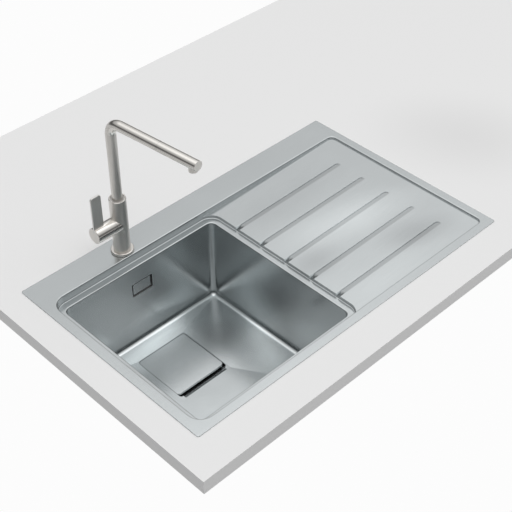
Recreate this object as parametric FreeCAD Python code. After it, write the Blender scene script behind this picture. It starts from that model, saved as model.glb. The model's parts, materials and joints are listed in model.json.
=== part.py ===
"""An inset kitchen sink: one square bowl, a drainer pressed into the same top, and a pull-out tap.

Millimetres, +Z up. The origin is the centre of the top's outline, on the worktop surface that the rim
rests on. +X runs along the long side from the bowl to the drainer, and +Y runs from front to back.
"""
import FreeCAD, Part
import math
import os

os.makedirs("parts", exist_ok=True)

V = FreeCAD.Vector
X = V(1, 0, 0)
Y = V(0, 1, 0)
Z = V(0, 0, 1)

# ---------------------------------------------------------------- driving dimensions: pressed top
top_length = 860.0          # outline along X
top_width = 530.0           # outline along Y
top_corner_r = 5.0
sheet = 1.0                 # gauge of the top and of the bowl
rim_height = 2.0            # rim's upper face above the worktop
rim_left = 22.0             # flat border, outline to recess
rim_right = 20.0
rim_front = 20.0
tap_deck = 69.0             # flat border at the back, which carries the tap
rim_edge_r = 0.8            # rounding of the outer edge
press_r = 1.8               # rounding where the recess leaves the rim
press_foot_r = 1.8          # rounding where its wall meets the ledge
drainer_corner_r = 14.0     # recess corners at the drainer's far end

ledge_drop = 20.0           # rim face down to the ledge round the bowl
ledge_width = 17.0
bowl_length = 401.0         # bowl opening along X
bowl_depth = 230.0          # rim face down to the floor beside the walls
bowl_corner_r = 14.0        # upright corners
bowl_floor_r = 12.0         # floor to wall
bowl_edge_r = 1.8           # ledge to bowl wall
apron = 12.0                # turned-down part of the top that the bowl is welded to
floor_fall = 4.0            # fall of the floor towards the drain well

panel_drop_far = 4.5        # rim face down to the drainer at its far end
panel_drop_near = 12.0      # the same at the bowl end
groove_count = 5
groove_pitch = 73.3
groove_width = 12.0
groove_depth = 1.6
groove_shift = -2.5         # middle groove's upright side from the middle of the recess
groove_end_gap = 63.0       # groove ends to the recess's far side
groove_end_r = 8.0
groove_run_out = 15.0       # length over which a groove falls to the ledge

# ---------------------------------------------------------------- driving dimensions: drain
cover_length = 130.0        # along X
cover_width = 130.0         # along Y
cover_back_gap = 47.0       # cover to the bowl's back wall
cover_sheet = 1.5
cover_fold = 5.0            # height of the turned-down edges
cover_gap = 0.8             # cover to the well at its sides and back
slot_gap = 10.0             # open slot in front of the cover
lip_r = 8.0                 # rolled edge in front of the slot
well_depth = 12.0
well_corner_r = 7.0
well_floor_r = 3.0
foot_r = 4.0
foot_inset = 12.0           # from the cover's edges to the middle of a foot

flange_r = 56.0
flange_sheet = 1.2
cup_r = 41.0                # inside of the strainer cup
cup_depth = 28.0            # flange face down to the cup's floor
outlet_r = 20.0
waste_hole_r = 45.0
waste_seal_thick = 1.0
lower_seal_thick = 2.5
waste_flange_thick = 4.0
waste_wall = 3.0
waste_shelf = 4.0
waste_chamber_r = 30.0
waste_chamber_height = 17.0
tail_r = 23.9               # outside of the G 1 1/2 tail
tail_length = 18.0
waste_screw_count = 3
waste_screw_circle_r = 31.0
waste_screw_turn = 30.0     # degrees from +X to the first screw
waste_screw_r = 2.5
waste_screw_head_r = 4.5
waste_screw_head = 1.5
waste_screw_length = 15.0
waste_boss_r = 6.0
waste_boss_height = 13.0
collar_length = 5.0

basket_gap = 1.0            # basket to cup, all round
basket_sheet = 1.0
basket_height = 15.0
basket_rows = 2
basket_hole_r = 1.8
basket_first_row_r = 27.5
basket_row_step = 6.0
basket_hole_spacing = 7.0
bung_r = 19.4
bung_height = 7.0
bung_seal_r = 24.0
bung_seal_thick = 2.0
knob_r = 8.0
knob_height = 11.0
knob_waist_r = 5.0
stem_r = 4.0
basket_corner_r = 4.0
cup_edge_r = 2.5

# ---------------------------------------------------------------- driving dimensions: overflow
overflow_length = 55.0      # opening along X
overflow_height = 35.0
overflow_top = 62.0         # worktop surface down to the opening
overflow_plate_gap = 4.0    # plate to opening, all round
overflow_plate_set_back = 2.5
overflow_plate_corner_r = 1.5
overflow_boss_r = 4.5
overflow_boss_length = 10.0
overflow_plate_sheet = 1.2
overflow_frame = 6.0        # pressed frame round the opening
overflow_frame_depth = 0.4
overflow_seal_thick = 1.5
overflow_seal_margin = 4.0
overflow_seal_width = 8.0
overflow_wall = 2.0
overflow_flange_thick = 3.0
overflow_chamber_depth = 27.0
overflow_spigot_r = 12.5
overflow_spigot_length = 20.0
peg_r = 2.0
peg_spacing = 28.0
stud_r = 2.0
stud_spacing = 88.0
stud_margin = 6.0
stud_nut_r = 4.0
stud_nut_thick = 3.2
pipe_r = 9.7
pipe_wall = 1.6
pipe_bend_r = 28.0
pipe_insert = 12.0
pipe_nut_r = 15.3
pipe_nut_height = 14.0
port_r = 12.5
port_length = 30.0
port_drop = 9.0             # waste shelf down to the port's axis

# ---------------------------------------------------------------- driving dimensions: fixing
seal_width = 8.0
seal_inset = 2.0            # outline to the seal
rail_inset = 11.0           # outline to the rail
rail_sheet = 1.0
rail_height = 14.0
rail_flange = 5.0
rail_lip = 7.7
rail_end_gap = 26.0         # rail ends to the outline's corners
worktop_thick = 30.0        # what the clips grip
clip_width = 16.0
clip_sheet = 1.2
clip_tooth_pitch = 4.0
clip_bend_r = 1.0
clip_tooth = 5.0
clip_tip_inset = 2.0        # outline to the clip's tip
clip_heel = 2.0             # claw's length behind its leg
clip_tab_width = 6.0        # leg's tab in the claw
clip_screw_r = 1.75
clip_screw_inset = 14.8     # outline to the screw
clip_screw_head_r = 3.4
clip_screw_head = 2.6
clip_screw_key = 2.0        # across flats
clip_nut_side = 5.0
clip_nut_thick = 3.0
clip_count_long = 4         # along each long side
clip_count_short = 3
clip_end_gap = 90.0         # outline's corners to the end clips
pad_thick = 2.5
pad_length = 260.0
pad_height = 110.0
pad_top_gap = 45.0          # ledge down to the pads on the bowl
pad_corner_r = 12.0
drainer_pad_length = 250.0
drainer_pad_width = 44.0
drainer_pad_thick = 2.0
drainer_pad_start = 60.0    # step to the pads
drainer_pad_corner_r = 8.0

# ---------------------------------------------------------------- driving dimensions: tap
tap_from_left = 228.0       # outline's left side to the tap's axis
tap_from_back = 43.0
tap_body_r = 18.0
tap_body_top = 140.0        # above the worktop
tap_body_chamfer = 0.8
tap_bore_r = 15.0
tap_hole_r = 17.5
base_seal_thick = 0.8
base_seal_width = 5.0
base_ring_r = 24.5
base_ring_height = 5.5
base_ring_seat = 3.0        # thickness left under the body
base_ring_edge_r = 2.0
shank_wall = 3.0
shank_depth = 46.0          # worktop down to the shank's end
shank_socket = 10.0         # length inside the body
deck_seal_thick = 2.0
deck_washer_thick = 2.0
deck_washer_r = 23.0
deck_nut_height = 8.0
deck_nut_flats = 40.0

spout_r = 11.0
spout_wall = 1.25
spout_axis_height = 327.0   # arm's axis above the worktop
spout_bend_r = 30.0
spout_reach = 228.0
spout_turn = 6.0            # degrees from straight forward, towards the drainer, at rest
spout_insert = 34.0         # tube inside the body
spout_end_r = 0.6
handset_length = 96.0
handset_seam = 0.3
handset_end = 2.5           # thickness of the closed end
bush_height = 24.0
bush_recess = 2.0           # body's upper edge down to the bush
circlip_thick = 1.5
circlip_r = 13.4
circlip_opening = 4.0
groove_cut = 0.7            # depth of the grooves for the circlip and the sealing ring
ring_thick = 2.0
plug_length = 14.0          # handset's plug inside the arm
plug_socket = 10.0          # the same plug inside the handset
hose_r = 6.0
hose_length = 78.0
hose_nut_r = 8.2
hose_nut_length = 10.0
aerator_r = 9.0
aerator_stand = 6.0         # stands out under the arm
aerator_inset = 13.0        # arm's end to the aerator's axis
aerator_wall = 1.2
aerator_rise = 7.0          # length inside the handset
aerator_core_height = 5.0
aerator_core_recess = 0.8
aerator_cell_r = 0.9
aerator_rings = 2
aerator_ring_step = 2.6

hub_axis_height = 77.0
hub_r = 17.7
hub_wall = 1.2
hub_gap = 0.5               # fixed collar to the turning hub
hub_start = 19.0            # tap's axis to the hub's inner end
hub_end = 66.0              # tap's axis to the hub's outer face
hub_solid = 25.5            # solid outer part of the hub
hub_chamfer = 0.6
lever_lift = 18.0           # degrees of travel
lift_margin = 1.5           # degrees that the hub's relief leaves over
boss_r = 13.5
boss_bore_r = 12.0
boss_end = 36.0
pivot_out = 28.0            # tap's axis to the lever's pivot
cartridge_start = 9.0
cartridge_floor = 2.0
cartridge_bore_r = 10.0
cartridge_port_r = 2.2
cartridge_nut_thick = 2.5
cartridge_nut_bore_r = 8.5
disc_r = 9.6
disc_thick = 4.0
carrier_start = 21.0
carrier_slot = 13.0
stem_side = 6.0
stem_eye_r = 4.5
stem_tip = 18.0             # tap's axis to the stem's inner end
stem_end = 56.0
pivot_pin_r = 1.5
blade_width = 25.0
blade_thick = 4.5
blade_top = 172.0           # above the worktop
blade_seat = 9.0            # depth of the blade's slot in the hub
blade_corner_r = 6.0
blade_edge_r = 0.8
grub_r = 2.5
grub_length = 6.0
grub_out = 50.0
manifold_top = 92.0         # above the worktop
manifold_flat = 0.5         # flat side, from the tap's axis
tail_pipe_r = 4.0           # plain copper tails for the supply
tail_pipe_wall = 0.8
tail_pipe_seat = 14.0       # length inside the manifold
tail_pipe_free = 30.0       # straight length at the lower end
tail_spread = 18.0          # sideways offset below the shank
tail_bend_r = 20.0
inlet_circle_r = 7.8

# ---------------------------------------------------------------- named clearances
fit = 0.05                  # radial, shaft in hole
loose = 0.3                 # between pieces that only pass each other
slip = 0.1                  # insert in its slot
over = 1.0                  # how far a cutting shape runs past what it cuts

# ---------------------------------------------------------------- worked out: top and bowl
left = -top_length / 2
right = top_length / 2
front = -top_width / 2
back = top_width / 2
rim_top = rim_height
rim_under = rim_top - sheet
recess_left = left + rim_left
recess_right = right - rim_right
recess_front = front + rim_front
recess_back = back - tap_deck
recess_mid_y = (recess_front + recess_back) / 2
ledge_z = rim_top - ledge_drop
floor_z = rim_top - bowl_depth
zone_r = bowl_corner_r + ledge_width
bowl_left = recess_left + ledge_width
bowl_right = bowl_left + bowl_length
bowl_front = recess_front + ledge_width
bowl_back = recess_back - ledge_width
bowl_mid_x = (bowl_left + bowl_right) / 2
step_x = bowl_right + ledge_width
apron_z = ledge_z - apron
panel_slope = (panel_drop_near - panel_drop_far) / (recess_right - step_x)
well_z = floor_z - floor_fall
well_floor_z = well_z - well_depth

leg_inset = rail_inset + rail_lip - rail_sheet / 2

# worked out: drain
cover_x0 = bowl_mid_x - cover_length / 2
cover_x1 = bowl_mid_x + cover_length / 2
cover_mid_y = bowl_back - cover_back_gap - cover_width / 2
cover_y0 = cover_mid_y - cover_width / 2
cover_y1 = cover_mid_y + cover_width / 2
flange_z = well_floor_z + waste_seal_thick + flange_sheet
cup_floor_z = flange_z - cup_depth
shelf_z = cup_floor_z - flange_sheet
chamber_z = shelf_z - waste_shelf
port_z = shelf_z - waste_shelf - port_drop
port_end_y = cover_mid_y + waste_chamber_r + port_length
lower_seal_z = well_floor_z - sheet - lower_seal_thick
basket_z = cup_floor_z + bung_seal_thick
knob_z = basket_z + basket_sheet

# worked out: overflow
overflow_z1 = -overflow_top
overflow_z0 = overflow_z1 - overflow_height
overflow_mid_z = (overflow_z0 + overflow_z1) / 2
wall_outside = bowl_back + sheet
overflow_flange_y = wall_outside + overflow_seal_thick
overflow_back_y = overflow_flange_y + overflow_chamber_depth
pipe_y = overflow_back_y - overflow_spigot_r
chamber_half_z = overflow_height / 2 + overflow_seal_margin + overflow_wall
spigot_end_z = overflow_mid_z - chamber_half_z - overflow_spigot_length

# worked out: tap
tap_x = left + tap_from_left
tap_y = back - tap_from_back
base_ring_z = rim_top + base_seal_thick
shank_r = tap_bore_r - fit
body_z = base_ring_z + base_ring_seat
spout_bottom = tap_body_top - spout_insert
bush_top = tap_body_top - bush_recess
bush_bottom = bush_top - bush_height
arm_seam = spout_reach - handset_length
tube_bore_r = spout_r - spout_wall
handset_start = arm_seam + handset_seam
plug_start = handset_start - plug_length
aerator_out = spout_reach - aerator_inset
aerator_bottom = spout_axis_height - spout_r - aerator_stand
hub_bore_r = hub_r - hub_wall
collar_end = hub_start - hub_gap
hub_top = hub_axis_height + hub_r
shank_top = body_z + shank_socket
washer_z1 = rim_under - deck_seal_thick
washer_z0 = washer_z1 - deck_washer_thick
pivot_pin_length = 2 * (cartridge_bore_r - over)


# ---------------------------------------------------------------- small helpers
def box(x0, x1, y0, y1, z0, z1):
    return Part.makeBox(x1 - x0, y1 - y0, z1 - z0, V(x0, y0, z0))


def post(x, y, z0, z1, r):
    """Upright round bar."""
    return Part.makeCylinder(r, z1 - z0, V(x, y, z0), Z)


def bar_x(x0, x1, y, z, r):
    return Part.makeCylinder(r, x1 - x0, V(x0, y, z), X)


def bar_y(x, y0, y1, z, r):
    return Part.makeCylinder(r, y1 - y0, V(x, y0, z), Y)


def rounded_outline(x0, x1, y0, y1, radii, z):
    """Closed outline with corner radii for the corners (x0, y0), (x1, y0), (x1, y1), (x0, y1)."""
    corners = [(x0, y0), (x1, y0), (x1, y1), (x0, y1)]
    inward = [(1, 1), (-1, 1), (-1, -1), (1, -1)]
    stops = []
    for (cx, cy), (sx, sy), r in zip(corners, inward, radii):
        along_x = V(cx + sx * r, cy, z)
        along_y = V(cx, cy + sy * r, z)
        mid = V(cx + sx * r * (1 - math.sqrt(0.5)), cy + sy * r * (1 - math.sqrt(0.5)), z)
        first, last = (along_y, along_x) if sx * sy > 0 else (along_x, along_y)
        stops.append((first, mid, last))
    edges = []
    for i, (first, mid, last) in enumerate(stops):
        if radii[i] > 0:
            edges.append(Part.Arc(first, mid, last).toShape())
        edges.append(Part.makeLine(last, stops[(i + 1) % 4][0]))
    return Part.Wire(edges)


def rounded_block(x0, x1, y0, y1, r, z0, z1):
    """Upright block with one corner radius, or a list of four."""
    radii = r if isinstance(r, list) else [r] * 4
    face = Part.Face(rounded_outline(x0, x1, y0, y1, radii, z0))
    return face.extrude(V(0, 0, z1 - z0))


def prism(points, along):
    """A flat outline of straight sides, drawn out along a vector."""
    return Part.Face(Part.makePolygon(points + [points[0]])).extrude(along)


def turned(profile, x, y):
    """Solid of revolution about the upright line through x, y. The profile is (radius, z) pairs."""
    points = [V(x + r, y, z) for r, z in profile]
    face = Part.Face(Part.makePolygon(points + [points[0]]))
    return face.revolve(V(x, y, 0), Z, 360)


def ring(x, y, z0, z1, r_in, r_out):
    return post(x, y, z0, z1, r_out).cut(post(x, y, z0 - over, z1 + over, r_in))


def edges_where(shape, test):
    return [e for e in shape.Edges if test(e.BoundBox)]


def near(a, b):
    return abs(a - b) < 0.01


def joined(shapes):
    first = shapes[0]
    if len(shapes) == 1:
        return first
    return first.fuse(shapes[1:]).removeSplitter()


def save(name, shape):
    shape.exportStep("parts/" + name + ".step")


def save_group(name, solids):
    save(name, Part.makeCompound(solids))


# ---------------------------------------------------------------- pressed top with drainer
def panel_z(x):
    """Height of the drainer's surface, which falls towards the bowl."""
    return rim_top - panel_drop_far - (recess_right - x) * panel_slope


def bowl_zone(grow, top):
    """Space of the sunk zone that holds the ledge."""
    return rounded_block(recess_left - grow, step_x + grow, recess_front - grow, recess_back + grow,
                         zone_r + grow, ledge_z - grow, top)


def drainer_zone(grow, top):
    """Space over the drainer, with its sloping floor."""
    start = step_x - zone_r - over
    end = recess_right + grow
    corner = drainer_corner_r + grow
    plan = rounded_block(start, end, recess_front - grow, recess_back + grow,
                         [0, corner, corner, 0], panel_z(start) - over - grow - sheet, top)
    side = prism([V(start, front, panel_z(start) - grow), V(end, front, panel_z(end) - grow),
                  V(end, front, top + over), V(start, front, top + over)], V(0, top_width, 0))
    return plan.common(side)


def groove(line_y, grow):
    """One groove: an upright side at line_y, a floor that rises to the front, a run-out at the bowl."""
    end = recess_right - groove_end_gap
    front_y = line_y - groove_width
    back_y = line_y + grow + over
    ramp_x = step_x + groove_run_out
    head = over if grow == 0 else -grow / 2
    run_out = panel_z(step_x) - ledge_z
    sections = []
    for x, depth in ((end + grow + over, groove_depth), (ramp_x, groove_depth), (step_x - over, run_out)):
        surface = panel_z(x)
        low = surface - grow - depth * (back_y - front_y) / groove_width
        corners = [V(x, back_y, surface + head), V(x, back_y, low),
                   V(x, front_y, surface - grow), V(x, front_y, surface + head)]
        sections.append(Part.makePolygon(corners + [corners[0]]))
    channel = Part.makeLoft(sections, True, True)
    plan = rounded_block(step_x - 2 * over, end + grow, front_y - over, line_y + grow,
                         [0, 0, groove_end_r + grow, 0], ledge_z - grow, rim_top + over)
    return channel.common(plan)


def groove_lines():
    middle = recess_mid_y + groove_shift
    return [middle + (i - (groove_count - 1) / 2) * groove_pitch for i in range(groove_count)]


def bowl_opening(grow, z0, z1):
    return rounded_block(bowl_left - grow, bowl_right + grow, bowl_front - grow, bowl_back + grow,
                         bowl_corner_r + grow, z0, z1)


def pressed_top():
    rim = rounded_block(left, right, front, back, top_corner_r, 0, rim_top)
    hollow = rounded_block(left + sheet, right - sheet, front + sheet, back - sheet,
                           top_corner_r - sheet, -over, rim_under)
    outside = [rim.cut(hollow), bowl_zone(sheet, rim_top), drainer_zone(sheet, rim_top),
               bowl_opening(sheet, apron_z, ledge_z)]
    outside += [groove(y, sheet) for y in groove_lines()]
    inside = [bowl_zone(0, rim_top + over), drainer_zone(0, rim_top + over),
              bowl_opening(0, apron_z - over, ledge_z + over),
              post(tap_x, tap_y, -over, rim_top + over, tap_hole_r)]
    inside += [groove(y, 0) for y in groove_lines()]
    top = joined(outside).cut(joined(inside))

    def recess_edge(b):
        in_recess = b.XMin > left + over and b.XMax < right - over and b.YMin > front + over
        return near(b.ZMin, rim_top) and near(b.ZMax, rim_top) and in_recess and b.YMax < recess_back + over

    def outer_edge(b):
        at_side = near(b.XMin, left) or near(b.XMax, right) or near(b.YMin, front) or near(b.YMax, back)
        return near(b.ZMin, rim_top) and near(b.ZMax, rim_top) and at_side

    def bowl_edge(b):
        inside_x = b.XMin > bowl_left - over and b.XMax < bowl_right + over
        inside_y = b.YMin > bowl_front - over and b.YMax < bowl_back + over
        return near(b.ZMin, ledge_z) and near(b.ZMax, ledge_z) and inside_x and inside_y

    def ledge_foot(b):
        beyond = b.YMin > bowl_back + over or b.YMax < bowl_front - over or b.XMax < bowl_left - over
        return near(b.ZMin, ledge_z) and near(b.ZMax, ledge_z) and beyond

    top = top.makeFillet(press_r, edges_where(top, recess_edge))
    top = top.makeFillet(bowl_edge_r, edges_where(top, bowl_edge))
    top = top.makeFillet(press_foot_r, edges_where(top, ledge_foot))
    return top.makeFillet(rim_edge_r, edges_where(top, outer_edge))


# ---------------------------------------------------------------- bowl
def bowl_hollow(grow, top):
    """Space of the bowl down to its flat floor border, with the rounded foot of the walls."""
    block = bowl_opening(grow, floor_z - grow, top)
    foot = edges_where(block, lambda b: near(b.ZMin, floor_z - grow) and near(b.ZMax, floor_z - grow))
    return block.makeFillet(bowl_floor_r + grow, foot)


def floor_dish(grow):
    """Four faces that fall from the walls to the flat round the well."""
    top = floor_z + (over if grow == 0 else 0) - grow
    r = bowl_floor_r
    wide = [(bowl_left + r, bowl_front + r), (bowl_right - r, bowl_front + r),
            (bowl_right - r, bowl_back - r), (bowl_left + r, bowl_back - r)]
    x0 = cover_x0 - cover_gap - 2 * over
    x1 = cover_x1 + cover_gap + 2 * over
    y0 = cover_y0 - slot_gap - lip_r - over
    y1 = cover_y1 + cover_gap + 2 * over
    small = [(x0, y0), (x1, y0), (x1, y1), (x0, y1)]
    wires = []
    for corners, z in ((wide, floor_z - grow), (small, well_z - grow)):
        points = [V(x, y, z) for x, y in corners]
        wires.append(Part.makePolygon(points + [points[0]]))
    dish = Part.makeLoft(wires, True, True)
    if top > floor_z - grow:
        points = [V(x, y, floor_z - grow) for x, y in wide]
        dish = dish.fuse(prism(points, V(0, 0, top - floor_z + grow)))
    return dish


def drain_well(grow):
    """Space of the well under the cover, with the rolled lip in front of its slot."""
    x0 = cover_x0 - cover_gap - grow
    x1 = cover_x1 + cover_gap + grow
    y0 = cover_y0 - slot_gap - grow
    y1 = cover_y1 + cover_gap + grow
    z0 = well_floor_z - grow
    z1 = well_z + (over if grow == 0 else -grow)
    block = rounded_block(x0, x1, y0, y1, well_corner_r + grow, z0, z1)
    foot = edges_where(block, lambda b: near(b.ZMin, z0) and near(b.ZMax, z0))
    block = block.makeFillet(well_floor_r + grow, foot)
    lip_y = cover_y0 - slot_gap - lip_r
    lip_z = well_z - lip_r
    inset = well_corner_r + grow
    corner = box(x0 + inset, x1 - inset, lip_y, y0 + over, lip_z, well_z - grow)
    if grow == 0:
        corner = box(x0 + inset, x1 - inset, lip_y, y0 + over, lip_z, well_z + over)
    roll = bar_x(x0, x1, lip_y, lip_z, lip_r - grow)
    return block.fuse(corner.cut(roll))


def overflow_opening(grow, y0, y1, r):
    """Upright rounded opening through the back wall."""
    half_x = overflow_length / 2 + grow
    half_z = overflow_height / 2 + grow
    face = rounded_block(bowl_mid_x - half_x, bowl_mid_x + half_x, -half_z, half_z, r, 0, y1 - y0)
    face.rotate(V(bowl_mid_x, 0, 0), X, 90)
    face.translate(V(0, y1, overflow_mid_z))
    return face


def stud_places():
    return [bowl_mid_x + s * stud_spacing / 2 for s in (-1, 1)]


def bowl():
    outside = joined([bowl_hollow(sheet, apron_z), floor_dish(sheet), drain_well(sheet)])
    inside = joined([bowl_hollow(0, apron_z + over), floor_dish(0), drain_well(0)])
    shell = outside.cut(inside)
    shell = shell.cut(post(bowl_mid_x, cover_mid_y, well_floor_z - 2 * sheet, well_z, waste_hole_r))
    shell = shell.cut(overflow_opening(0, bowl_back - over, wall_outside + over, 3))
    shell = shell.cut(overflow_opening(overflow_frame, bowl_back - over,
                                       bowl_back + overflow_frame_depth, 4))
    stud_end = overflow_flange_y + overflow_flange_thick + stud_nut_thick + over
    studs = [bar_y(x, wall_outside - sheet / 2, stud_end, overflow_mid_z, stud_r) for x in stud_places()]
    return joined([shell] + studs)


# ---------------------------------------------------------------- drain: cover and strainer
def cover_block(inset, z0, z1):
    return rounded_block(cover_x0 + inset, cover_x1 - inset, cover_y0 + inset, cover_y1 - inset,
                         well_corner_r - cover_gap - inset, z0, z1)


def drain_cover():
    tray = cover_block(0, well_z - cover_fold, well_z)
    tray = tray.makeFillet(cover_sheet / 2, edges_where(tray, lambda b: near(b.ZMin, well_z)))
    return tray.cut(cover_block(cover_sheet, well_z - cover_fold - over, well_z - cover_sheet))


def cover_feet():
    feet = []
    for sx in (-1, 1):
        for sy in (-1, 1):
            x = bowl_mid_x + sx * (cover_length / 2 - foot_inset)
            y = cover_mid_y + sy * (cover_width / 2 - foot_inset)
            foot = post(x, y, well_floor_z, well_z - cover_sheet, foot_r)
            low_edge = edges_where(foot, lambda b: near(b.ZMax, well_floor_z))
            feet.append(foot.makeChamfer(foot_r / 4, low_edge))
    return feet


def on_drain(profile):
    return turned(profile, bowl_mid_x, cover_mid_y)


def around_drain(radius, count, turn, z0, z1, r):
    """Evenly spaced upright bars on a circle about the drain's axis."""
    bars = []
    for i in range(count):
        angle = math.radians(turn + i * 360 / count)
        x = bowl_mid_x + radius * math.cos(angle)
        y = cover_mid_y + radius * math.sin(angle)
        bars.append(post(x, y, z0, z1, r))
    return bars


def strainer_basket():
    r = cup_r - basket_gap
    top = basket_z + basket_height
    inner = r - basket_sheet
    drum = on_drain([(0, basket_z), (r, basket_z), (r, top), (0, top)])
    drum = drum.makeFillet(basket_corner_r, edges_where(drum, lambda b: near(b.ZMax, basket_z)))
    floor = basket_z + basket_sheet
    space = on_drain([(0, floor), (inner, floor), (inner, top + over), (0, top + over)])
    foot = edges_where(space, lambda b: near(b.ZMax, floor))
    space = space.makeFillet(basket_corner_r - basket_sheet, foot)
    holes = [post(bowl_mid_x, cover_mid_y, basket_z - over, floor + over, stem_r + fit)]
    for row in range(basket_rows):
        radius = basket_first_row_r + row * basket_row_step
        count = int(2 * math.pi * radius / basket_hole_spacing)
        holes += around_drain(radius, count, 0, basket_z - over, floor + over, basket_hole_r)
    return drum.cut([space] + holes)


def strainer_bung():
    foot = cup_floor_z - bung_height
    cone = bung_height / 3
    return on_drain([(0, foot), (bung_r - cone, foot), (bung_r, foot + cone), (bung_r, cup_floor_z),
                     (stem_r, cup_floor_z), (stem_r, knob_z + stem_r), (0, knob_z + stem_r)])


def strainer_knob():
    top = knob_z + knob_height
    waist = knob_z + knob_height * 0.45
    brim = knob_z + knob_height * 0.7
    edge = knob_r / 8
    bore = stem_r + fit
    return on_drain([(bore, knob_z), (knob_waist_r + edge, knob_z), (knob_waist_r, waist), (knob_r, brim),
                     (knob_r, top - edge), (knob_r - edge, top), (0, top), (0, knob_z + bore),
                     (bore, knob_z + bore)])


# ---------------------------------------------------------------- drain: waste below the bowl
def at_screws(z0, z1, r):
    return around_drain(waste_screw_circle_r, waste_screw_count, waste_screw_turn, z0, z1, r)


def waste_cup():
    s = flange_sheet
    collar_z = shelf_z - collar_length
    cup = on_drain([(flange_r, flange_z), (flange_r, flange_z - s), (cup_r + s, flange_z - s),
                    (cup_r + s, shelf_z), (outlet_r + s, shelf_z), (outlet_r + s, collar_z),
                    (outlet_r, collar_z), (outlet_r, cup_floor_z), (cup_r, cup_floor_z), (cup_r, flange_z)])

    def mouth(b):
        return near(b.ZMin, flange_z) and near(b.ZMax, flange_z) and near(b.XLength, 2 * cup_r)

    cup = cup.makeFillet(cup_edge_r, edges_where(cup, mouth))
    return cup.cut(at_screws(shelf_z - over, cup_floor_z + over, waste_screw_r + loose))


def waste_body():
    bore = cup_r + flange_sheet + over
    wall = bore + waste_wall
    tail_z = chamber_z - waste_chamber_height
    end_z = tail_z - tail_length
    hub = outlet_r + flange_sheet + fit
    chamber = waste_chamber_r - waste_wall
    under = lower_seal_z - waste_flange_thick
    collar_z = shelf_z - collar_length
    body = on_drain([(bore, lower_seal_z), (flange_r, lower_seal_z), (flange_r, under), (wall, under),
                     (wall, chamber_z), (waste_chamber_r, chamber_z), (waste_chamber_r, tail_z - waste_wall),
                     (tail_r, tail_z - waste_wall), (tail_r, end_z), (tail_r - waste_wall, end_z),
                     (tail_r - waste_wall, tail_z), (chamber, tail_z), (chamber, collar_z), (hub, collar_z),
                     (hub, shelf_z), (bore, shelf_z)])
    port = bar_y(bowl_mid_x, cover_mid_y + chamber, port_end_y, port_z, port_r)
    boss_z = chamber_z - waste_boss_height
    inside = post(bowl_mid_x, cover_mid_y, tail_z, chamber_z + over, chamber)
    bosses = [boss.cut(inside) for boss in at_screws(boss_z, chamber_z + over, waste_boss_r)]
    holes = at_screws(boss_z + over, shelf_z + over, waste_screw_r + fit)
    bore_y = bar_y(bowl_mid_x, cover_mid_y, port_end_y + over, port_z, pipe_r - pipe_wall)
    seat_y = bar_y(bowl_mid_x, port_end_y - pipe_insert, port_end_y + over, port_z, pipe_r + fit)
    return joined([body, port] + bosses).cut([bore_y, seat_y] + holes)


def waste_screws():
    top = cup_floor_z + waste_screw_head
    deep = waste_screw_head / 2
    half = waste_screw_head_r / 8
    heads = at_screws(cup_floor_z, top, waste_screw_head_r)
    shafts = at_screws(cup_floor_z - waste_screw_length, cup_floor_z, waste_screw_r)
    screws = []
    for head, shaft in zip(heads, shafts):
        c = head.CenterOfMass
        r = waste_screw_head_r
        slot = box(c.x - r, c.x + r, c.y - half, c.y + half, top - deep, top + over)
        screws.append(joined([head.cut(slot), shaft]))
    return screws


# ---------------------------------------------------------------- overflow
def on_wall(half_x, half_z, r, y0, y1):
    """Upright rounded block centred on the overflow, between two Y values."""
    block = rounded_block(bowl_mid_x - half_x, bowl_mid_x + half_x, -half_z, half_z, r, 0, y1 - y0)
    block.rotate(V(bowl_mid_x, 0, 0), X, 90)
    block.translate(V(0, y1, overflow_mid_z))
    return block


def pegs(y0, y1, r):
    return [bar_y(bowl_mid_x + s * peg_spacing / 2, y0, y1, overflow_mid_z, r) for s in (-1, 1)]


def overflow_plate():
    y0 = bowl_back + overflow_plate_set_back
    half_x = overflow_length / 2 - overflow_plate_gap
    half_z = overflow_height / 2 - overflow_plate_gap
    plate = on_wall(half_x, half_z, overflow_plate_corner_r, y0, y0 + overflow_plate_sheet)
    plate = plate.makeFillet(overflow_plate_sheet / 3, edges_where(plate, lambda b: near(b.YMax, y0)))
    return joined([plate] + pegs(y0 + overflow_plate_sheet, overflow_back_y - overflow_wall, peg_r))


def overflow_seal():
    half_x = overflow_length / 2 + overflow_seal_margin
    half_z = overflow_height / 2 + overflow_seal_margin
    pad = on_wall(half_x + overflow_seal_width, half_z + overflow_seal_width, overflow_seal_width,
                  wall_outside, overflow_flange_y)
    hole = on_wall(half_x, half_z, overflow_seal_margin, wall_outside - over, overflow_flange_y + over)
    return pad.cut(hole)


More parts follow.
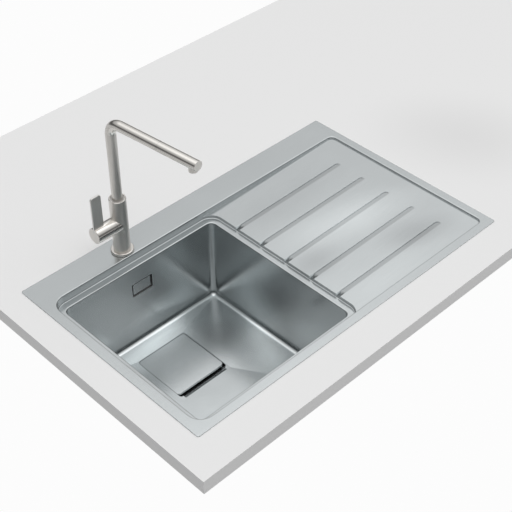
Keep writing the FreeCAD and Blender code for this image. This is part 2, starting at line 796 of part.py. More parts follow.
def overflow_housing():
    half_x = overflow_length / 2 + overflow_seal_margin
    half_z = overflow_height / 2 + overflow_seal_margin
    y0 = overflow_flange_y
    flange = on_wall(stud_spacing / 2 + stud_margin, half_z + overflow_seal_width, stud_margin, y0,
                     y0 + overflow_flange_thick)
    box_out = on_wall(half_x + overflow_wall, half_z + overflow_wall, overflow_seal_margin + overflow_wall,
                      y0, overflow_back_y)
    back_edges = edges_where(box_out, lambda b: near(b.YMin, overflow_back_y))
    box_out = box_out.makeFillet(overflow_wall, back_edges)
    spigot = post(bowl_mid_x, pipe_y, spigot_end_z, overflow_mid_z, overflow_spigot_r)
    bosses = pegs(overflow_back_y - overflow_boss_length, overflow_back_y - overflow_wall / 2,
                  overflow_boss_r)
    space = on_wall(half_x, half_z, overflow_seal_margin, y0 - over, overflow_back_y - overflow_wall)
    space = space.cut(bosses)
    bore = post(bowl_mid_x, pipe_y, spigot_end_z - over, overflow_mid_z, pipe_r - pipe_wall)
    seat = post(bowl_mid_x, pipe_y, spigot_end_z - over, spigot_end_z + pipe_insert, pipe_r + fit)
    stud_holes = [bar_y(x, y0 - over, y0 + overflow_flange_thick + over, overflow_mid_z, stud_r + loose)
                  for x in stud_places()]
    peg_holes = pegs(y0, overflow_back_y - overflow_wall, peg_r + fit)
    return joined([flange, box_out, spigot]).cut([space, bore, seat] + stud_holes + peg_holes)


def hexagon(flats, height):
    """Upright hexagonal bar on the origin's Z axis."""
    r = flats / math.sqrt(3)
    points = [V(r * math.cos(math.radians(60 * i)), r * math.sin(math.radians(60 * i)), 0) for i in range(6)]
    return prism(points, V(0, 0, height))


def overflow_nuts():
    nuts = []
    for x in stud_places():
        nut = hexagon(2 * stud_nut_r * math.cos(math.radians(30)), stud_nut_thick)
        nut.rotate(V(0, 0, 0), X, -90)
        nut.translate(V(x, overflow_flange_y + overflow_flange_thick, overflow_mid_z))
        nuts.append(nut.cut(bar_y(x, bowl_back, overflow_back_y, overflow_mid_z, stud_r + fit)))
    return nuts


def swept(edges, start, r):
    """Round bar along a path that begins at start."""
    profile = Part.Wire([Part.makeCircle(r, start, edges[0].tangentAt(edges[0].FirstParameter))])
    return Part.Wire(edges).makePipeShell([profile], True, False)


def bent_bar(start, corner, end, bend_r, r):
    """Round bar that runs straight, bends square and runs straight again."""
    first = (start - corner).normalize()
    last = (end - corner).normalize()
    a = corner + first * bend_r
    b = corner + last * bend_r
    centre = corner + (first + last) * bend_r
    mid = centre - (first + last).normalize() * bend_r
    return swept([Part.makeLine(start, a), Part.Arc(a, mid, b).toShape(), Part.makeLine(b, end)], start, r)


def bent_tube(start, corner, end, bend_r, r, wall):
    return bent_bar(start, corner, end, bend_r, r).cut(bent_bar(start, corner, end, bend_r, r - wall))


def overflow_pipe():
    start = V(bowl_mid_x, pipe_y, spigot_end_z + pipe_insert)
    corner = V(bowl_mid_x, pipe_y, port_z)
    end = V(bowl_mid_x, port_end_y - pipe_insert, port_z)
    return bent_tube(start, corner, end, pipe_bend_r, pipe_r, pipe_wall)


def pipe_nut():
    """Coupling nut with its closed end at z = 0 and its thread upwards, on the Z axis."""
    lip = pipe_nut_height / 4
    nut = turned([(pipe_r + fit, 0), (pipe_nut_r - over, 0), (pipe_nut_r, over),
                  (pipe_nut_r, pipe_nut_height), (port_r + fit, pipe_nut_height), (port_r + fit, lip),
                  (pipe_r + fit, lip)], 0, 0)
    grips = []
    grip_circle_r = pipe_nut_r + over / 2
    for i in range(12):
        angle = math.radians(30 * i)
        x = grip_circle_r * math.cos(angle)
        y = grip_circle_r * math.sin(angle)
        grips.append(post(x, y, -over, pipe_nut_height + over, over))
    return nut.cut(grips)


def pipe_nuts():
    upper = pipe_nut()
    upper.translate(V(bowl_mid_x, pipe_y, spigot_end_z - pipe_nut_height / 4))
    lower = pipe_nut()
    lower.rotate(V(0, 0, 0), X, 90)
    lower.translate(V(bowl_mid_x, port_end_y + pipe_nut_height / 4, port_z))
    return [upper, lower]


# ---------------------------------------------------------------- fixing under the rim
def rim_seal():
    band = rounded_block(left + seal_inset, right - seal_inset, front + seal_inset, back - seal_inset,
                         top_corner_r - seal_inset, 0, rim_under)
    gap = seal_inset + seal_width
    hole = rounded_block(left + gap, right - gap, front + gap, back - gap, sheet, -over, rim_under + over)
    return band.cut(hole)


def to_side(shape, side):
    """Moves a shape built with Y as the distance in from the outline: 0 front, 1 right, 2 back, 3 left."""
    moved = shape.copy()
    moved.rotate(V(0, 0, 0), Z, 90 * side)
    moved.translate([V(0, front, 0), V(right, 0, 0), V(0, back, 0), V(left, 0, 0)][side])
    return moved


def clip_places(side):
    span = (top_width if side % 2 else top_length) - 2 * clip_end_gap
    count = clip_count_short if side % 2 else clip_count_long
    return [span * (i / (count - 1) - 0.5) for i in range(count)]


def at_clips(shape):
    placed = []
    for side in range(4):
        for along in clip_places(side):
            copy = shape.copy()
            copy.translate(V(along, 0, 0))
            placed.append(to_side(copy, side))
    return placed


def clip_rails():
    i0 = rail_inset
    low = rim_under - rail_height
    rails = []
    for side in range(4):
        half = (top_width if side % 2 else top_length) / 2 - rail_end_gap
        i1 = i0 + rail_sheet
        section = [(i0, rim_under), (i0 + rail_flange, rim_under),
                   (i0 + rail_flange, rim_under - rail_sheet), (i1, rim_under - rail_sheet),
                   (i1, low + rail_sheet), (i0 + rail_lip, low + rail_sheet),
                   (i0 + rail_lip, low), (i0, low)]
        rail = prism([V(-half, y, z) for y, z in section], V(2 * half, 0, 0))
        holes = [post(x, clip_screw_inset, low - over, low + rail_sheet + over, clip_screw_r + loose)
                 for x in clip_places(side)]
        rails.append(to_side(rail.cut(holes), side))
    return rails


def clip_claw():
    """Flat claw with a toothed tip, slotted for its leg."""
    plate = -worktop_thick - clip_tooth
    t = clip_sheet
    tip = clip_tip_inset
    heel = leg_inset + clip_heel
    section = [(tip, -worktop_thick), (tip + t, -worktop_thick), (tip + t, plate), (heel, plate),
               (heel, plate - t), (tip, plate - t)]
    body = prism([V(-clip_width / 2, y, z) for y, z in section], V(clip_width, 0, 0))
    bend = edges_where(body, lambda b: near(b.ZMax, plate - t) and near(b.YMax, tip) and b.XLength > over)
    body = body.makeFillet(clip_bend_r, bend)
    cuts = [post(0, clip_screw_inset, plate - 2 * t, plate + t, clip_screw_r + loose)]
    slot = clip_tab_width / 2 + slip
    cuts.append(box(-slot, slot, leg_inset - t - slip, leg_inset + slip, plate - 2 * t, plate + t))
    notch = clip_tooth_pitch / 2
    for i in range(int(clip_width / clip_tooth_pitch)):
        x = (i + 0.5) * clip_tooth_pitch - clip_width / 2
        points = [V(x - notch * 0.8, 0, -worktop_thick + over), V(x + notch * 0.8, 0, -worktop_thick + over),
                  V(x, 0, -worktop_thick - notch)]
        cuts.append(prism(points, V(0, tip + 2 * t, 0)))
    return body.cut(cuts)


def clip_leg():
    """Upright strip between the rail's lip and the claw, with a tab in the claw's slot."""
    plate = -worktop_thick - clip_tooth
    t = clip_sheet
    strip = box(-clip_width / 2, clip_width / 2, leg_inset - t, leg_inset, plate, rim_under - rail_height)
    tab = box(-clip_tab_width / 2, clip_tab_width / 2, leg_inset - t, leg_inset, plate - t, plate)
    return joined([strip, tab])


def clip_screw():
    low = rim_under - rail_height
    seat = -worktop_thick - clip_tooth - clip_sheet
    shaft = post(0, clip_screw_inset, seat, low + rail_sheet + clip_nut_thick + over, clip_screw_r)
    head = post(0, clip_screw_inset, seat - clip_screw_head, seat, clip_screw_head_r)
    key = hexagon(clip_screw_key, clip_screw_head)
    key.translate(V(0, clip_screw_inset, seat - clip_screw_head - over))
    return joined([shaft, head]).cut(key)


def clip_nut():
    z0 = rim_under - rail_height + rail_sheet
    half = clip_nut_side / 2
    y = clip_screw_inset
    block = box(-half, half, y - half, y + half, z0, z0 + clip_nut_thick)
    return block.cut(post(0, y, z0 - over, z0 + clip_nut_thick + over, clip_screw_r + fit))


def bowl_pads():
    """One pad each on the left, right and front walls."""
    top = ledge_z - pad_top_gap
    mid = top - pad_height / 2
    flat = rounded_block(-pad_length / 2, pad_length / 2, -pad_height / 2, pad_height / 2, pad_corner_r,
                         0, pad_thick)
    flat.rotate(V(0, 0, 0), X, 90)
    facing_front = flat.copy()
    facing_front.translate(V(bowl_mid_x, bowl_front - sheet, mid))
    pads = [facing_front]
    for turn, x in ((90, bowl_right + sheet), (-90, bowl_left - sheet)):
        pad = flat.copy()
        pad.rotate(V(0, 0, 0), Z, turn)
        pad.translate(V(x, recess_mid_y, mid))
        pads.append(pad)
    return pads


def drainer_pads():
    """Strips under the drainer, between its grooves."""
    x0 = step_x + drainer_pad_start
    x1 = x0 + drainer_pad_length
    pads = []
    for line_y in groove_lines()[:-1]:
        mid = line_y + (groove_pitch - groove_width) / 2
        y0 = mid - drainer_pad_width / 2
        plan = rounded_block(x0, x1, y0, y0 + drainer_pad_width, drainer_pad_corner_r,
                             ledge_z - 2 * drainer_pad_thick, rim_top)
        side = prism([V(x0, y0, panel_z(x0) - sheet), V(x1, y0, panel_z(x1) - sheet),
                      V(x1, y0, panel_z(x1) - sheet - drainer_pad_thick),
                      V(x0, y0, panel_z(x0) - sheet - drainer_pad_thick)], V(0, drainer_pad_width, 0))
        pads.append(plan.common(side))
    return pads


# ---------------------------------------------------------------- tap, built about its own upright axis
def tap_body():
    tower = post(0, 0, body_z, tap_body_top, tap_body_r)
    tower = tower.makeChamfer(tap_body_chamfer, edges_where(tower, lambda b: near(b.ZMin, tap_body_top)))
    collar = bar_x(-collar_end, 0, 0, hub_axis_height, hub_r)
    boss = bar_x(-boss_end, 0, 0, hub_axis_height, boss_r)
    bore = post(0, 0, body_z - over, tap_body_top + over, tap_bore_r)
    side_bore = bar_x(-boss_end - over, 0, 0, hub_axis_height, boss_bore_r)
    return joined([tower, collar, boss]).cut([bore, side_bore])


def tap_base_ring():
    seat = base_ring_z + base_ring_seat
    top = base_ring_z + base_ring_height
    disc = turned([(shank_r + loose, base_ring_z), (base_ring_r, base_ring_z), (base_ring_r, top),
                   (tap_body_r + slip, top), (tap_body_r + slip, seat), (shank_r + loose, seat)], 0, 0)

    def crown(b):
        return near(b.ZMin, top) and near(b.ZMax, top) and near(b.XLength, 2 * base_ring_r)

    return disc.makeFillet(base_ring_edge_r, edges_where(disc, crown))


def deck_nut():
    nut = hexagon(deck_nut_flats, deck_nut_height)
    nut.translate(V(0, 0, washer_z0 - deck_nut_height))
    return nut.cut(post(0, 0, washer_z0 - deck_nut_height - over, washer_z0 + over, shank_r + fit))


def tap_manifold():
    """Half-round block in the bore, with the cartridge's seat and the two inlets below."""
    block = post(0, 0, shank_top, manifold_top, tap_bore_r - fit)
    cuts = [box(-manifold_flat, tap_bore_r, -tap_bore_r, tap_bore_r, shank_top - over, manifold_top + over),
            bar_x(-tap_bore_r - over, -cartridge_start, 0, hub_axis_height, boss_bore_r)]
    reach = inlet_circle_r * math.sqrt(0.5)
    for s in (-1, 1):
        cuts.append(post(-reach, s * reach, shank_top - over, shank_top + tail_pipe_seat, tail_pipe_r + fit))
        cuts.append(post(-reach, s * reach, shank_top, hub_axis_height, cartridge_port_r))
        cuts.append(bar_x(-cartridge_start - over, -reach, s * reach, hub_axis_height, cartridge_port_r))
    cuts.append(bar_x(-cartridge_start - over, 0, 0, hub_axis_height + reach, cartridge_port_r))
    return block.cut(cuts)


def inlet_tail(y, side, r):
    """Round bar down through the shank, then in an easy S to one side and straight down again."""
    x = -inlet_circle_r * math.sqrt(0.5)
    turn = math.acos(1 - tail_spread / (2 * tail_bend_r))
    across = tail_bend_r * (1 - math.cos(turn / 2))
    rise = tail_bend_r * math.sin(turn / 2)
    drop = tail_bend_r * math.sin(turn)
    z0 = -shank_depth - over
    shift = side * tail_spread
    start = V(x, y, shank_top + tail_pipe_seat)
    first = V(x, y, z0)
    middle = V(x + shift / 2, y, z0 - drop)
    last = V(x + shift, y, z0 - 2 * drop)
    bends = [Part.Arc(first, V(x + side * across, y, z0 - rise), middle).toShape(),
             Part.Arc(middle, V(x + shift - side * across, y, last.z + rise), last).toShape()]
    foot = Part.makeLine(last, last - V(0, 0, tail_pipe_free))
    return swept([Part.makeLine(start, first)] + bends + [foot], start, r)


def inlet_tails():
    """Two plain copper pipes from the manifold."""
    reach = inlet_circle_r * math.sqrt(0.5)
    return [inlet_tail(s * reach, s, tail_pipe_r).cut(inlet_tail(s * reach, s, tail_pipe_r - tail_pipe_wall))
            for s in (-1, 1)]


def cartridge():
    end = boss_end - cartridge_nut_thick
    shell = bar_x(-end, -cartridge_start, 0, hub_axis_height, boss_bore_r - fit)
    floor = cartridge_start + cartridge_floor
    cuts = [bar_x(-end - over, -floor, 0, hub_axis_height, disc_r + slip),
            bar_x(-end - over, -carrier_start, 0, hub_axis_height, cartridge_bore_r)]
    reach = inlet_circle_r * math.sqrt(0.5)
    for y, z in ((-reach, 0), (reach, 0), (0, reach)):
        cuts.append(bar_x(-floor - over, -cartridge_start + over, y, hub_axis_height + z, cartridge_port_r))
    return shell.cut(cuts)


def cartridge_disc():
    a = cartridge_start + cartridge_floor
    disc = bar_x(-a - disc_thick, -a, 0, hub_axis_height, disc_r)
    reach = inlet_circle_r * math.sqrt(0.5)
    return disc.cut([bar_x(-a - disc_thick - over, -a + over, y, hub_axis_height + z, cartridge_port_r)
                     for y, z in ((-reach, 0), (reach, 0), (0, reach))])


def cartridge_carrier():
    end = boss_end - cartridge_nut_thick - loose
    drum = bar_x(-end, -carrier_start - fit, 0, hub_axis_height, cartridge_bore_r - fit)
    half_y = stem_side / 2 + loose
    low = hub_axis_height - carrier_slot / 2
    slot = box(-end - over, -carrier_start + over, -half_y, half_y, low, low + carrier_slot)
    pin = bar_y(-pivot_out, -cartridge_bore_r, cartridge_bore_r, hub_axis_height, pivot_pin_r + fit)
    return drum.cut([slot, pin])


def cartridge_stem():
    half = stem_side / 2
    shaft = box(-stem_end, -stem_tip, -half, half, hub_axis_height - half, hub_axis_height + half)
    eye = bar_y(-pivot_out, -half, half, hub_axis_height, stem_eye_r)
    pin = bar_y(-pivot_out, -stem_side, stem_side, hub_axis_height, pivot_pin_r + fit)
    return joined([shaft, eye]).cut(pin)


def blade_space(extra):
    half = blade_thick / 2 + extra
    return box(-hub_end - extra, -hub_end + blade_width + extra, -half, half, hub_top - blade_seat,
               hub_top + over)


def lever_hub():
    hub = bar_x(-hub_end, -hub_start, 0, hub_axis_height, hub_r)
    hub = hub.makeChamfer(hub_chamfer, edges_where(hub, lambda b: near(b.XMax, -hub_end)))
    solid = hub_end - hub_solid
    half = stem_side / 2 + slip
    low = hub_axis_height - half
    cuts = [bar_x(-solid, -hub_start + over, 0, hub_axis_height, hub_bore_r),
            box(-stem_end - over, -solid + over, -half, half, low, low + 2 * half),
            post(-grub_out, 0, hub_axis_height - hub_r - over, hub_axis_height, grub_r + fit),
            blade_space(slip)]
    tilt = math.radians(lever_lift + lift_margin)
    corners = []
    for drop in (0, 2 * hub_r):
        x = -pivot_out + (pivot_out - hub_start - drop * math.sin(tilt)) / math.cos(tilt)
        corners.append(V(x, -hub_r - over, hub_axis_height - drop))
    corners += [V(0, -hub_r - over, hub_axis_height - 2 * hub_r), V(0, -hub_r - over, hub_axis_height)]
    cuts.append(prism(corners, V(0, 2 * (hub_r + over), 0)))
    return hub.cut(cuts)


def lever_blade():
    z0 = hub_top - blade_seat
    x0 = -hub_end
    x1 = -hub_end + blade_width
    plan = rounded_block(x0, x1, z0, blade_top, [0, 0, blade_corner_r, blade_corner_r], 0, blade_thick)
    plan.rotate(V(0, 0, 0), X, 90)
    plan.translate(V(0, blade_thick / 2, 0))
    rims = edges_where(plan, lambda b: b.YLength < 0.01 and b.ZMax > z0 + over)
    return plan.makeFillet(blade_edge_r, rims)


def lever_grub():
    top = hub_axis_height - stem_side / 2
    screw = post(-grub_out, 0, top - grub_length, top, grub_r)
    key = hexagon(grub_r, grub_length / 2)
    key.translate(V(-grub_out, 0, top - grub_length - over))
    return screw.cut(key)


# ---------------------------------------------------------------- spout and handset, built straight forward
def arm_bar(a, b, r):
    """Round bar along the arm between two distances from the tap's axis."""
    return bar_y(0, -b, -a, spout_axis_height, r)


def spout_tube():
    start = V(0, 0, spout_bottom)
    corner = V(0, 0, spout_axis_height)
    end = V(0, -arm_seam, spout_axis_height)
    tube = bent_tube(start, corner, end, spout_bend_r, spout_r, spout_wall)
    z1 = bush_bottom - loose
    return tube.cut(ring(0, 0, z1 - circlip_thick, z1, spout_r - groove_cut, spout_r + over))


def spout_circlip():
    z1 = bush_bottom - loose
    clip_ring = ring(0, 0, z1 - circlip_thick, z1, spout_r - groove_cut + fit, circlip_r)
    half = circlip_opening / 2
    return clip_ring.cut(box(-half, half, 0, 2 * circlip_r, z1 - 2 * circlip_thick, z1 + over))


def handset():
    shell = arm_bar(handset_start, spout_reach, spout_r)
    shell = shell.makeFillet(spout_end_r, edges_where(shell, lambda b: near(b.YMax, -spout_reach)))
    space = arm_bar(handset_start - over, spout_reach - handset_end, tube_bore_r)
    hole = post(0, -aerator_out, spout_axis_height - 2 * spout_r, spout_axis_height, aerator_r + fit)
    return shell.cut([space, hole])


def handset_plug():
    plug = arm_bar(plug_start, handset_start + plug_socket, tube_bore_r - fit)
    mid = handset_start - plug_length / 2
    groove_ring = arm_bar(mid - ring_thick / 2, mid + ring_thick / 2, spout_r)
    groove_ring = groove_ring.cut(arm_bar(plug_start - over, handset_start, tube_bore_r - groove_cut))
    bore = arm_bar(plug_start - over, handset_start + plug_socket + over, hose_r + fit)
    return plug.cut([groove_ring, bore])


def handset_ring():
    mid = handset_start - plug_length / 2
    band = arm_bar(mid - ring_thick / 2 + fit, mid + ring_thick / 2 - fit, tube_bore_r - fit)
    return band.cut(arm_bar(plug_start - over, handset_start, tube_bore_r - groove_cut + fit))


def hose_stub():
    return arm_bar(plug_start - hose_length, handset_start, hose_r).cut(
        arm_bar(plug_start - hose_length - over, handset_start + over, hose_r / 2))


def hose_nut():
    nut = hexagon(2 * hose_nut_r * math.cos(math.radians(30)), hose_nut_length)
    nut.rotate(V(0, 0, 0), X, -90)
    nut.translate(V(0, -plug_start, spout_axis_height))
    return nut.cut(arm_bar(plug_start - hose_nut_length - over, plug_start + over, hose_r + fit))


def aerator_shell():
    top = spout_axis_height - spout_r + aerator_rise
    inner = aerator_r - aerator_wall
    edge = aerator_wall / 2
    return turned([(inner, aerator_bottom), (aerator_r - edge, aerator_bottom),
                   (aerator_r, aerator_bottom + edge), (aerator_r, top), (inner, top)], 0, -aerator_out)


def aerator_core():
    z0 = aerator_bottom + aerator_core_recess
    z1 = z0 + aerator_core_height
    core = post(0, -aerator_out, z0, z1, aerator_r - aerator_wall - fit)
    cells = [post(0, -aerator_out, z0 - over, z1 + over, aerator_cell_r)]
    for row in range(1, aerator_rings + 1):
        for i in range(6 * row):
            angle = 2 * math.pi * i / (6 * row)
            x = row * aerator_ring_step * math.cos(angle)
            y = row * aerator_ring_step * math.sin(angle)
            cells.append(post(x, y - aerator_out, z0 - over, z1 + over, aerator_cell_r))
    return core.cut(cells)


# ---------------------------------------------------------------- write every piece
def save_at_tap(name, shape):
    shape.translate(V(tap_x, tap_y, 0))
    save(name, shape)


def save_on_spout(name, shape):
    shape.rotate(V(0, 0, 0), Z, spout_turn)
    save_at_tap(name, shape)


save("top", pressed_top())
save("bowl", bowl())
save("rim_seal", rim_seal())
save_group("clip_rails", clip_rails())
save_group("clip_claws", at_clips(clip_claw()))
save_group("clip_legs", at_clips(clip_leg()))
save_group("clip_screws", at_clips(clip_screw()))
save_group("clip_nuts", at_clips(clip_nut()))
save_group("bowl_pads", bowl_pads())
save_group("drainer_pads", drainer_pads())

save("drain_cover", drain_cover())
save_group("cover_feet", cover_feet())
save("strainer_basket", strainer_basket())
save("strainer_bung", strainer_bung())
save("strainer_knob", strainer_knob())
save("strainer_seal", ring(bowl_mid_x, cover_mid_y, cup_floor_z, basket_z, stem_r + fit, bung_seal_r))
save("waste_cup", waste_cup())
save("waste_top_seal", ring(bowl_mid_x, cover_mid_y, well_floor_z, well_floor_z + waste_seal_thick,
                            waste_hole_r + over, flange_r - over))
save("waste_lower_seal", ring(bowl_mid_x, cover_mid_y, lower_seal_z, well_floor_z - sheet,
                              waste_hole_r + over, flange_r - over))
save("waste_body", waste_body())
save_group("waste_screws", waste_screws())

save("overflow_plate", overflow_plate())
save("overflow_seal", overflow_seal())
save("overflow_housing", overflow_housing())
save_group("overflow_nuts", overflow_nuts())
save("overflow_pipe", overflow_pipe())
save_group("pipe_nuts", pipe_nuts())

save_at_tap("tap_body", tap_body())
save_at_tap("tap_base_ring", tap_base_ring())
save_at_tap("tap_base_seal", ring(0, 0, rim_top, base_ring_z, base_ring_r - over - base_seal_width,
                                  base_ring_r - over))
save_at_tap("tap_shank", ring(0, 0, -shank_depth, shank_top, shank_r - shank_wall, shank_r))
save_at_tap("deck_seal", ring(0, 0, washer_z1, rim_under, shank_r + loose, deck_washer_r - over))
save_at_tap("deck_washer", ring(0, 0, washer_z0, washer_z1, shank_r + loose, deck_washer_r))
save_at_tap("deck_nut", deck_nut())
save_at_tap("tap_manifold", tap_manifold())
save_at_tap("inlet_tails", Part.makeCompound(inlet_tails()))
save_at_tap("cartridge", cartridge())
save_at_tap("cartridge_disc", cartridge_disc())
save_at_tap("cartridge_nut", bar_x(-boss_end, -boss_end + cartridge_nut_thick, 0, hub_axis_height,
                                   boss_bore_r - fit).cut(bar_x(-boss_end - over, 0, 0, hub_axis_height,
                                                                cartridge_nut_bore_r)))
save_at_tap("spout_bush", ring(0, 0, bush_bottom, bush_top, spout_r + fit, tap_bore_r - fit))
save_at_tap("cartridge_carrier", cartridge_carrier())
save_at_tap("carrier_pin", bar_y(-pivot_out, -pivot_pin_length / 2, pivot_pin_length / 2, hub_axis_height,
                                 pivot_pin_r))
save_at_tap("cartridge_stem", cartridge_stem())
save_at_tap("lever_hub", lever_hub())
save_at_tap("lever_blade", lever_blade())
save_at_tap("lever_grub", lever_grub())

save_on_spout("spout_tube", spout_tube())
save_on_spout("spout_circlip", spout_circlip())
save_on_spout("handset", handset())
save_on_spout("handset_plug", handset_plug())
save_on_spout("handset_ring", handset_ring())
save_on_spout("hose_stub", hose_stub())
save_on_spout("hose_nut", hose_nut())
save_on_spout("aerator_shell", aerator_shell())
save_on_spout("aerator_core", aerator_core())
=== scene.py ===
"""Looks for the inset kitchen sink with its drainer and pull-out tap.

Metres, +Z up, in the part's own frame: the worktop's face lies at z = 0, the bowl towards -X, the drainer
towards +X and the tap at the back, towards +Y.
"""
import bpy
import json
import math
from mathutils import Matrix, Vector

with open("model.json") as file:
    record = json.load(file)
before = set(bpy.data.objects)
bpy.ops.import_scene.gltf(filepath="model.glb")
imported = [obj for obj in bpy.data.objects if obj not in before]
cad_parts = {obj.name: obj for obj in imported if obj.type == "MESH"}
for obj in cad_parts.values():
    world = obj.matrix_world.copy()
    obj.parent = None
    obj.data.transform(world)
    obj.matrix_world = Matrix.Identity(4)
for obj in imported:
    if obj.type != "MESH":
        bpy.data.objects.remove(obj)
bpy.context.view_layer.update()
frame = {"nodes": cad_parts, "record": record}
nodes = frame["nodes"]


scene = bpy.context.scene
scene.view_settings.view_transform = "Standard"
scene.view_settings.look = "None"
scene.view_settings.exposure = 0.0
scene.view_settings.gamma = 1.0


# ---------------------------------------------------------------- node helpers
TOP_LEVEL = 4.0  # the highest level that a curve can hold


class Tree:
    """A small builder for one node tree."""

    def __init__(self, tree):
        self.tree = tree

    def add(self, kind, inputs=None, **settings):
        """A node with its settings; each input is another node's output or a plain value."""
        node = self.tree.nodes.new(kind)
        for key, value in settings.items():
            setattr(node, key, value)
        for key, value in (inputs or {}).items():
            if hasattr(value, "is_linked"):
                self.tree.links.new(value, node.inputs[key])
            else:
                node.inputs[key].default_value = value
        return node

    def math(self, operation, a, b=0.0):
        return self.add("ShaderNodeMath", {0: a, 1: b}, operation=operation).outputs[0]

    def scaled(self, value, low, high):
        """A value from 0 to 1, spread from low to high."""
        spread = self.add("ShaderNodeMapRange", {"Value": value, "To Min": low, "To Max": high})
        return spread.outputs["Result"]

    def tinted(self, color, level):
        return self.add("ShaderNodeVectorMath", {0: color, "Scale": level}, operation="SCALE").outputs[0]

    def place(self):
        """Where the surface is, in the part's own coordinates."""
        return self.add("ShaderNodeTexCoord").outputs["Object"]

    def noise(self, scale, stretch=(1, 1, 1), detail=2.0):
        """Noise in the part's own coordinates, drawn out along an axis where stretch is small."""
        mapped = self.add("ShaderNodeMapping", {"Vector": self.place(), "Scale": stretch}).outputs["Vector"]
        noise = self.add("ShaderNodeTexNoise", {"Vector": mapped, "Scale": scale, "Detail": detail})
        return noise.outputs["Fac"]

    def curve(self, value, low, high, stops):
        """A smooth level through stops (value, level); value runs from low to high."""
        along = self.add("ShaderNodeMapRange", {"Value": value, "From Min": low, "From Max": high})
        node = self.add("ShaderNodeValToRGB", {"Fac": along.outputs["Result"]})
        node.color_ramp.interpolation = "EASE"
        ends = node.color_ramp.elements
        while len(ends) < len(stops):
            ends.new(0.5)
        for end, (at, level) in zip(ends, stops):
            end.position = (at - low) / (high - low)
            end.color = (level / TOP_LEVEL, level / TOP_LEVEL, level / TOP_LEVEL, 1)
        return self.math("MULTIPLY", node.outputs["Color"], TOP_LEVEL)

    def painted_light_spots(self, painted_areas):
        """A level near 1 with broad soft areas of painted light and shade: centre, half sizes, turn in
        degrees, strength.
        """
        level = 1.0
        for centre, half, turn, strength in painted_areas:
            near = self.add("ShaderNodeMapping", {
                "Vector": self.place(), "Location": centre, "Scale": half,
                "Rotation": (0, 0, math.radians(turn))}, vector_type="TEXTURE")
            away = self.add("ShaderNodeVectorMath", {0: near.outputs[0]}, operation="LENGTH").outputs["Value"]
            part = self.add("ShaderNodeMapRange", {"Value": away, "To Min": strength, "To Max": 0.0},
                            interpolation_type="SMOOTHSTEP").outputs["Result"]
            level = self.math("ADD", part, level)
        return level


def material(name):
    mat = bpy.data.materials.new(name)
    mat.use_nodes = True
    mat.node_tree.nodes.clear()
    return mat, Tree(mat.node_tree)


def finish_material(t, shader):
    t.add("ShaderNodeOutputMaterial", {"Surface": shader.outputs[0]})


# ---------------------------------------------------------------- kinds of material
BRUSH_SCALE = 900.0  # brushing lines, per metre across them
BRUSH_TONE = 0.06  # how far a line is lighter or darker
BRUSH_BUMP = 0.02
BRUSH_HEIGHT = 0.0002
CLOUD_SCALE = 6.0  # the broad soft unevenness
CLOUD_TONE = 0.05
CLOUD_ROUGH = 0.03
LEAN_RANGE = (0.03, 0.30)  # the normal's upward part: upright below the first, lying above the second
EDGE_SAMPLES = 6


def brushed(name, color, rough, streak=(1, 1, 1), edge=0.0, upright=None, painted_reflections=()):
    """Metal with fine brushing, drawn out where streak is small, and broad soft unevenness.

    edge rounds the sharp pressed lines; upright is the roughness where the surface stands upright;
    the last argument lists broad soft areas of painted reflection, lighter or darker tone standing in for
    light and shade.
    """
    mat, t = material(name)
    lines = t.noise(BRUSH_SCALE, streak, 3.0)
    cloud = t.noise(CLOUD_SCALE)
    level = t.math("MULTIPLY", t.scaled(lines, 1 - BRUSH_TONE, 1 + BRUSH_TONE),
                   t.scaled(cloud, 1 - CLOUD_TONE, 1 + CLOUD_TONE))
    # painted reflections: soft lighter and darker areas multiplied into the steel's colour
    if painted_reflections:
        level = t.math("MULTIPLY", level, t.painted_light_spots(painted_reflections))
    roughness = t.math("ADD", rough, t.scaled(cloud, -CLOUD_ROUGH, CLOUD_ROUGH))
    if upright is not None:
        facing = t.add("ShaderNodeSeparateXYZ", {"Vector": t.add("ShaderNodeNewGeometry").outputs["Normal"]})
        lying = t.add("ShaderNodeMapRange", {"Value": t.math("ABSOLUTE", facing.outputs["Z"]),
                                             "From Min": LEAN_RANGE[0], "From Max": LEAN_RANGE[1]})
        # inputs 0, 2 and 3 of a mix of plain values are its factor, first and second value
        roughness = t.add("ShaderNodeMix", {0: lying.outputs["Result"], 2: upright, 3: roughness}).outputs[0]
    bump = t.add("ShaderNodeBump", {"Strength": BRUSH_BUMP, "Distance": BRUSH_HEIGHT, "Height": lines})
    if edge:
        soft = t.add("ShaderNodeBevel", {"Radius": edge}, samples=EDGE_SAMPLES)
        t.tree.links.new(soft.outputs[0], bump.inputs["Normal"])
    finish_material(t, t.add("ShaderNodeBsdfPrincipled", {
        "Base Color": t.tinted(color, level), "Metallic": 1.0, "Roughness": roughness,
        "Normal": bump.outputs[0]}))
    return mat


SPECK_TONE = 0.04
SPECK_HEIGHT = 0.0003


def plain(name, color, rough, metallic=0.0, grain=0.0, grain_scale=300.0, specular=0.5):
    """Moulded, rubber or plated finish with a faint grain."""
    mat, t = material(name)
    speck = t.noise(grain_scale, (1, 1, 1), 3.0)
    bump = t.add("ShaderNodeBump", {"Strength": grain, "Distance": SPECK_HEIGHT, "Height": speck})
    finish_material(t, t.add("ShaderNodeBsdfPrincipled", {
        "Base Color": t.tinted(color, t.scaled(speck, 1 - SPECK_TONE, 1 + SPECK_TONE)), "Metallic": metallic,
        "Roughness": rough, "Normal": bump.outputs[0], "Specular IOR Level": specular}))
    return mat


# ---------------------------------------------------------------- finishes
TOP_STEEL = (0.50, 0.525, 0.532)
BOWL_STEEL = (0.49, 0.517, 0.524)
STEEL_ROUGH = 0.22
ALONG_X = (0.02, 1, 1)
ALONG_X_AND_Y = (0.02, 0.02, 1)
ALONG_Z = (1, 1, 0.03)
PRESSED_EDGE = 0.0007
